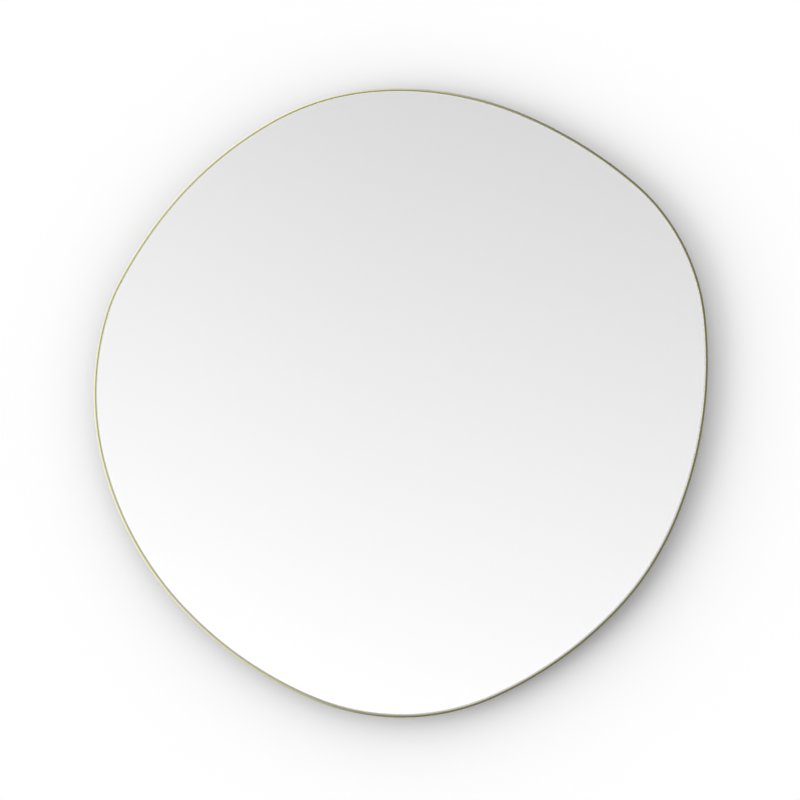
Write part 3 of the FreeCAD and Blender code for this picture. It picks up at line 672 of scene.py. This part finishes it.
class FinishSettings(bpy.types.PropertyGroup):
    brass: FloatVectorProperty(
        name="Brass", description="Colour of the hoop", subtype="COLOR",
        default=(0.80, 0.775, 0.49), min=0, max=1)
    board: FloatVectorProperty(
        name="Board", description="Colour of the raw board", subtype="COLOR",
        default=(0.42, 0.27, 0.15), min=0, max=1)
    zinc: FloatVectorProperty(
        name="Zinc", description="Colour of screws and washers", subtype="COLOR",
        default=(0.62, 0.64, 0.66), min=0, max=1)
    nickel: FloatVectorProperty(
        name="Nickel", description="Colour of the hangers", subtype="COLOR",
        default=(0.70, 0.67, 0.61), min=0, max=1)
    rubber: FloatVectorProperty(
        name="Rubber", description="Colour of the bumpers", subtype="COLOR",
        default=(0.025, 0.025, 0.027), min=0, max=1)


class HoopSettings(bpy.types.PropertyGroup):
    outer_round: FloatProperty(
        name="Outer Round", description="Radius of the hoop's outer front edge", unit="LENGTH",
        default=2.4 * MM, min=0.2 * MM, max=3.0 * MM)
    inner_round: FloatProperty(
        name="Inner Round", description="Radius of the hoop's inner front edge", unit="LENGTH",
        default=0.5 * MM, min=0.2 * MM, max=0.9 * MM)
    back_round: FloatProperty(
        name="Back Round", description="Radius of the hoop's back edges", unit="LENGTH",
        default=0.5 * MM, min=0.1 * MM, max=1.9 * MM)
    glass_arris: FloatProperty(
        name="Glass Arris", description="Width of the bevel round the front of the glass",
        unit="LENGTH", default=0.1 * MM, min=0.05 * MM, max=1.5 * MM)


class ScrewSettings(bpy.types.PropertyGroup):
    head_radius: FloatProperty(
        name="Head Radius", description="Radius of the pan heads", unit="LENGTH",
        default=3.5 * MM, min=2 * MM, max=6 * MM)
    head_height: FloatProperty(
        name="Head Height", description="Height of the pan heads", unit="LENGTH",
        default=2.2 * MM, min=1 * MM, max=4 * MM)
    shank_radius: FloatProperty(
        name="Shank Radius", description="Radius over the threads", unit="LENGTH",
        default=1.75 * MM, min=1 * MM, max=3 * MM)
    pitch: FloatProperty(
        name="Pitch", description="Rise of the thread in one turn", unit="LENGTH",
        default=1.4 * MM, min=0.5 * MM, max=3 * MM)
    seed: IntProperty(name="Seed", description="How the screws happen to be turned", default=7, min=0)


class WeldSettings(bpy.types.PropertyGroup):
    bead_radius: FloatProperty(
        name="Bead Radius", description="Radius of the weld beads at the lugs", unit="LENGTH",
        default=0.8 * MM, min=0.3 * MM, max=1.2 * MM)
    ripple: FloatProperty(
        name="Ripple", description="Distance from one drop of weld to the next", unit="LENGTH",
        default=0.9 * MM, min=0.3 * MM, max=2 * MM)
    reach: FloatProperty(
        name="Reach", description="Length of each bead", unit="LENGTH",
        default=16 * MM, min=4 * MM, max=18 * MM)


class StudioSettings(bpy.types.PropertyGroup):
    lens: FloatProperty(
        name="Lens", description="Focal length in millimetres", default=85.0, min=20.0, max=200.0)
    frame_width: FloatProperty(
        name="Frame Width", description="Width of the picture at the hoop's front",
        unit="LENGTH", default=1.0154, min=0.5, max=3.0)
    base: FloatProperty(
        name="Base", description="Strength of the even light from all round", default=0.30, min=0.0, max=2.0)
    rim_glow: FloatProperty(
        name="Rim Glow", description="Strength of the light along the wall", default=1.05, min=0.0, max=4.0)
    fill: FloatProperty(
        name="Fill", description="Strength of the wide light at the upper left", default=1.52, min=0.0, max=4.0)
    key: FloatProperty(
        name="Key", description="Strength of the soft lamp at the left", default=1.43, min=0.0, max=10.0)
    key_size: FloatProperty(
        name="Key Size", description="How wide the lamp looks from the mirror", unit="ROTATION",
        default=math.radians(48), min=0.0, max=math.radians(90))
    floor_drop: FloatProperty(
        name="Floor Drop", description="Height of the mirror's middle over the floor", unit="LENGTH",
        default=1.5, min=0.6, max=3.0)


class MirrorSettings(bpy.types.PropertyGroup):
    finish: PointerProperty(type=FinishSettings)
    hoop: PointerProperty(type=HoopSettings)
    screws: PointerProperty(type=ScrewSettings)
    welds: PointerProperty(type=WeldSettings)
    studio: PointerProperty(type=StudioSettings)


# ---------------------------------------------------------------- operators


class MIRROR_OT_hoop(bpy.types.Operator):
    """Sweep the rounded brass bar round the outline"""
    bl_idname = "pebble_mirror.hoop"
    bl_label = "Hoop"

    def execute(self, context):
        settings = context.scene.pebble_mirror
        hoop = grow("brass_hoop", hoop_tree(), path_mesh("hoop_path", outline_points(), closed=True), {
            "Wall": HOOP_WALL,
            "Depth": HOOP_FRONT - HOOP_BACK,
            "Wall Gap": HOOP_BACK,
            "Outer Round": settings.hoop.outer_round,
            "Inner Round": settings.hoop.inner_round,
            "Back Round": settings.hoop.back_round,
            "Material": brass_finish("satin_brass", settings.finish.brass, along_hoop=True),
        })
        ride_for(hoop, "brushed_brass", "frame_band")
        return {"FINISHED"}


class MIRROR_OT_glass(bpy.types.Operator):
    """Cut the float glass, with the small arris round its polished edge"""
    bl_idname = "pebble_mirror.glass"
    bl_label = "Glass"

    def execute(self, context):
        arris = context.scene.pebble_mirror.hoop.glass_arris
        rings = [
            (GLASS_INSET + arris, GLASS_FRONT),
            (GLASS_INSET, GLASS_FRONT - arris),
            (GLASS_INSET, GLASS_BACK),
        ]
        ride_for(sheet_piece("float_glass", rings, glass_finish()), "clear_glass", "mirror_glass")
        return {"FINISHED"}


class MIRROR_OT_silver(bpy.types.Operator):
    """Lay the silver and its paint on the back of the glass"""
    bl_idname = "pebble_mirror.silver"
    bl_label = "Silver"

    def execute(self, context):
        rings = [(GLASS_INSET, GLASS_BACK - SILVER_GAP), (GLASS_INSET, SILVER_BACK)]
        ride_for(sheet_piece("silver_layer", rings, silver_finish()), "silver", "silver_backing")
        return {"FINISHED"}


class MIRROR_OT_board(bpy.types.Operator):
    """Finish the raw board and what bonds it to the glass"""
    bl_idname = "pebble_mirror.board"
    bl_label = "Board"

    def execute(self, context):
        coat(board_finish(context.scene.pebble_mirror.finish.board), "backing_board")
        tapes = [name for name in NODES if name.startswith("foam_tape")]
        beads = [name for name in NODES if name.startswith("adhesive_bead")]
        coat(soft_finish("white_foam", (0.75, 0.75, 0.73), 0.4 * MM), *tapes)
        coat(soft_finish("cured_adhesive", (0.7, 0.66, 0.55), 2 * MM), *beads)
        return {"FINISHED"}


class MIRROR_OT_lugs(bpy.types.Operator):
    """Finish the lugs, and lay a weld bead where each meets the hoop"""
    bl_idname = "pebble_mirror.lugs"
    bl_label = "Lugs"

    def execute(self, context):
        settings = context.scene.pebble_mirror
        finish = brass_finish("plated_lug_brass", settings.finish.brass, along_hoop=False)
        lugs = [f"frame_lug_{place}" for place in LUG_PLACES]
        coat(finish, *lugs)
        paths = [self.bead_path(place, settings.welds.reach) for place in LUG_PLACES]
        welds = grow("weld_beads", weld_tree(), path_mesh("weld_paths", *paths), {
            "Bead Radius": settings.welds.bead_radius,
            "Ripple": settings.welds.ripple,
            "Ripple Height": 0.16,
            "Material": finish,
        })
        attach(welds, MIRROR)
        return {"FINISHED"}

    def bead_path(self, place, reach):
        """Along the hoop's inner wall, over the edge of the lug's leg that is nearest to the wall."""
        depth = -highest(f"frame_lug_{place}").y - 0.2 * MM
        half = reach / 2 / (on_outline(PLACE_ANGLES[place]).length - HOOP_WALL)
        angles = [PLACE_ANGLES[place] + half * step / 8 for step in range(-8, 9)]
        points = [on_outline(angle, HOOP_WALL + 0.25 * MM) for angle in angles]
        return [Vector((p.x, -depth, p.y)) for p in points]


class MIRROR_OT_screws(bpy.types.Operator):
    """Drive the pan head screws of the lugs, hangers and bumpers"""
    bl_idname = "pebble_mirror.screws"
    bl_label = "Screws"

    def execute(self, context):
        settings = context.scene.pebble_mirror
        zinc = plated_finish("bright_zinc", settings.finish.zinc, 0.28, 0.2 * MM)
        tree = screw_tree()
        sets = {"lug_screws": LUG_SCREWS, "hanger_screws": HANGER_SCREWS, "bumper_screws": BUMPER_SCREWS}
        for number, (name, nodes) in enumerate(sets.items()):
            low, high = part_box(nodes[0])
            length = high.y - low.y - settings.screws.head_height
            blank = screw_blank(f"{name}_blank", length, settings.screws.shank_radius, settings.screws, zinc)
            places = [sum(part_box(node), Vector()) / 2 for node in nodes]
            for place in places:
                place.y = high.y - settings.screws.head_height
            mesh = path_mesh(f"{name}_places", *[[place] for place in places])
            screws = grow(name, tree, mesh, {
                "Screw": blank, "Seed": settings.screws.seed + number, "Material": zinc})
            bpy.data.objects.remove(blank)
            ride_for(screws, "zinc_screw", *nodes)
        coat(zinc, *[f"bumper_washer_{corner}" for corner in CORNERS])
        return {"FINISHED"}


class MIRROR_OT_hangers(bpy.types.Operator):
    """Finish the straps and the rings that swing in them"""
    bl_idname = "pebble_mirror.hangers"
    bl_label = "Hangers"

    def execute(self, context):
        nickel = plated_finish("bright_nickel", context.scene.pebble_mirror.finish.nickel, 0.22, 0.3 * MM)
        coat(nickel, *[f"hanger_{part}_{side}" for part in ("strap", "ring") for side in SIDES])
        return {"FINISHED"}


class MIRROR_OT_bumpers(bpy.types.Operator):
    """Finish the rubber bumpers"""
    bl_idname = "pebble_mirror.bumpers"
    bl_label = "Bumpers"

    def execute(self, context):
        rubber = rubber_finish(context.scene.pebble_mirror.finish.rubber)
        coat(rubber, *[f"bumper_{corner}" for corner in CORNERS])
        return {"FINISHED"}


def direction_of(off_normal, around):
    """The way to a light in front of the wall: degrees off the wall's normal, and round it from +X."""
    off_normal, around = math.radians(off_normal), math.radians(around)
    flat = math.sin(off_normal)
    return Vector((flat * math.cos(around), -math.cos(off_normal), flat * math.sin(around)))


KEY_WAY = direction_of(69, 188)
FILL_WAY = direction_of(77, 122)

RIM_FALLOFF = 4.0  # how closely the light along the wall keeps to its plane
FILL_FALLOFF = 1.6
AHEAD_MIDDLE, AHEAD_SPREAD = 0.928, 0.22  # what the mirror shows straight ahead
THROWN_LIGHT = 0.02  # what metal throws back onto the wall
WALL_BACK = 0.3 * MM  # the wall's paint, behind the faces of the bumpers
WALL_REACH, FLOOR_REACH = 3, 6
CAMERA_X, CAMERA_Z = -0.82 * MM, 3.44 * MM


def add_sun(name, towards, strength, size):
    data = bpy.data.lights.new(name, "SUN")
    data.energy = strength
    data.angle = size
    sun = bpy.data.objects.new(name, data)
    bpy.context.scene.collection.objects.link(sun)
    sun.rotation_euler = towards.to_track_quat("Z", "Y").to_euler()
    sun.visible_glossy = False
    return sun


def toward(tree, way, direction):
    """How far a way points in a direction, as a dot product."""
    wires = {0: way, 1: direction}
    return put(tree, "ShaderNodeVectorMath", wires, operation="DOT_PRODUCT").outputs["Value"]


def studio_world(settings):
    """Soft light from all round, white for the camera, and a gradient for what the metal and mirror show."""
    world = bpy.data.worlds.new("studio")
    bpy.context.scene.world = world
    world.use_nodes = True
    tree = world.node_tree
    way = put(tree, "ShaderNodeTexCoord").outputs["Generated"]
    x, y, z = put(tree, "ShaderNodeSeparateXYZ", {0: way}).outputs
    front = sums(tree, "MULTIPLY", sums(tree, "ABSOLUTE", y), -1.0)
    folded = put(tree, "ShaderNodeCombineXYZ", {0: x, 1: front, 2: z}).outputs[0]

    # Light that lands: a low base, a glow all round the wall's plane and a wide fill at the upper left.
    level_way = sums(tree, "SUBTRACT", 1.0, sums(tree, "MULTIPLY", y, y))
    rim_glow = sums(tree, "MULTIPLY", sums(tree, "POWER", level_way, RIM_FALLOFF), settings.rim_glow)
    fill = sums(tree, "MAXIMUM", toward(tree, folded, FILL_WAY), 0.0)
    fill = sums(tree, "MULTIPLY", sums(tree, "POWER", fill, FILL_FALLOFF), settings.fill)
    light = sums(tree, "ADD", sums(tree, "ADD", rim_glow, fill), settings.base)

    # What the mirror shows is a pale room: straight ahead a little brighter low down, and further round a
    # wall that greys towards the floor. Brass shows a room of its own, which is bright at the left and
    # dark at the right, both straight ahead and further round.
    ahead = sums(tree, "ADD", sums(tree, "MULTIPLY", z, -1.04), sums(tree, "MULTIPLY", x, -0.305))
    ahead = ramp(tree, ahead, -AHEAD_SPREAD, AHEAD_SPREAD,
                 AHEAD_MIDDLE - AHEAD_SPREAD, AHEAD_MIDDLE + AHEAD_SPREAD)
    aside = ramp(tree, toward(tree, way, (-0.966, 0.0, 0.26)), -0.25, 0.55, 0.18, 1.15, smooth=True)
    further = ramp(tree, z, -0.6, 0.6, 0.62, 0.95, smooth=True)
    further = sums(tree, "ADD", further, ramp(tree, x, -1.0, 1.0, 0.08, -0.08))
    pale = ramp(tree, ramp(tree, front, -0.985, -0.8, smooth=True), 0.0, 1.0, ahead, further)
    brassy = ramp(tree, x, -0.16, 0.0, 0.8, 0.3, smooth=True)
    brassy = ramp(tree, ramp(tree, front, -0.96, -0.88, smooth=True), 0.0, 1.0, brassy, aside)

    # What metal throws back onto the paint of the wall is kept low, so that the shadow stays clean.
    ray = put(tree, "ShaderNodeLightPath").outputs
    thrown = sums(tree, "MINIMUM", ray["Diffuse Depth"], 1.0)
    thrown = sums(tree, "SUBTRACT", thrown, ray["Is Diffuse Ray"])
    shown = ramp(tree, ray["Is Glossy Ray"], 0.0, 1.0, light, brassy)
    shown = ramp(tree, ray["Is Transmission Ray"], 0.0, 1.0, shown, pale)
    shown = ramp(tree, thrown, 0.0, 1.0, shown, THROWN_LIGHT)
    shown = ramp(tree, ray["Is Camera Ray"], 0.0, 1.0, shown, 1.0)
    tree.links.new(shown, tree.nodes["Background"].inputs["Color"])


def backdrop_material(name, paint, glow, one_sided):
    """Matt paint with a faint glow of its own. One side can be clear."""
    material, tree, shader, _ = new_material(name, Roughness=0.9, Specular_IOR_Level=0.0)
    shader["Base Color"].default_value = (paint, paint, paint, 1)
    shader["Emission Color"].default_value = (1, 1, 1, 1)
    shader["Emission Strength"].default_value = glow
    if one_sided:
        output = tree.nodes["Material Output"]
        clear = put(tree, "ShaderNodeBsdfTransparent").outputs[0]
        behind = put(tree, "ShaderNodeNewGeometry").outputs["Backfacing"]
        painted = tree.nodes["Principled BSDF"].outputs[0]
        seen = put(tree, "ShaderNodeMixShader", {0: behind, 1: painted, 2: clear})
        tree.links.new(seen.outputs[0], output.inputs["Surface"])
    return material


def add_backdrop(name, corners, material):
    mesh = bpy.data.meshes.new(name)
    mesh.from_pydata(corners, [], [tuple(range(len(corners)))])
    mesh.materials.append(material)
    sheet = bpy.data.objects.new(name, mesh)
    bpy.context.scene.collection.objects.link(sheet)
    sheet.visible_diffuse = sheet.visible_shadow = sheet.visible_glossy = False
    return sheet


class MIRROR_OT_studio(bpy.types.Operator):
    """Set up the wall, floor, lights and camera"""
    bl_idname = "pebble_mirror.studio"
    bl_label = "Studio"

    def execute(self, context):
        settings = context.scene.pebble_mirror.studio
        studio_world(settings)
        add_sun("key", KEY_WAY, settings.key, settings.key_size)
        floor, back, far, wide = -settings.floor_drop, WALL_BACK, FLOOR_REACH, WALL_REACH
        corners = [(-wide, back, floor), (wide, back, floor), (wide, back, wide), (-wide, back, wide)]
        wall = add_backdrop("wall", corners, backdrop_material("wall_paint", 1.0, 0.0, one_sided=True))
        wall.visible_transmission = False
        corners = [(-far, -far, floor), (far, -far, floor), (far, far, floor), (-far, far, floor)]
        paint = backdrop_material("floor_paint", 0.42, 0.05, one_sided=False)
        ground = add_backdrop("floor", corners, paint)
        ground.visible_camera = False  # only the mirror shows it
        data = bpy.data.cameras.new("camera")
        data.lens = settings.lens
        camera = bpy.data.objects.new("camera", data)
        context.scene.collection.objects.link(camera)
        away = settings.frame_width * data.lens / data.sensor_width
        camera.location = (CAMERA_X, -HOOP_FRONT - away, CAMERA_Z)
        camera.rotation_euler = (math.pi / 2, 0, 0)
        context.scene.camera = camera
        context.scene.view_settings.view_transform = "Standard"
        return {"FINISHED"}


class MIRROR_PT_pieces(bpy.types.Panel):
    """The steps that dress the mirror"""
    bl_idname = "MIRROR_PT_pieces"
    bl_label = "Pebble Mirror"
    bl_space_type = "VIEW_3D"
    bl_region_type = "UI"
    bl_category = "Mirror"

    def draw(self, context):
        for operator in OPERATORS:
            self.layout.operator(operator.bl_idname)


OPERATORS = (MIRROR_OT_studio, MIRROR_OT_hoop, MIRROR_OT_glass, MIRROR_OT_silver, MIRROR_OT_board,
             MIRROR_OT_lugs, MIRROR_OT_screws, MIRROR_OT_hangers, MIRROR_OT_bumpers)
CLASSES = (FinishSettings, HoopSettings, ScrewSettings, WeldSettings, StudioSettings, MirrorSettings,
           *OPERATORS, MIRROR_PT_pieces)


def register():
    for cls in CLASSES:
        bpy.utils.register_class(cls)
    bpy.types.Scene.pebble_mirror = PointerProperty(type=MirrorSettings)


def unregister():
    del bpy.types.Scene.pebble_mirror
    for cls in reversed(CLASSES):
        bpy.utils.unregister_class(cls)


def main():
    check_outline()
    register()
    for operator in OPERATORS:
        group, name = operator.bl_idname.split(".")
        getattr(getattr(bpy.ops, group), name)()


if __name__ == "__main__":
    main()
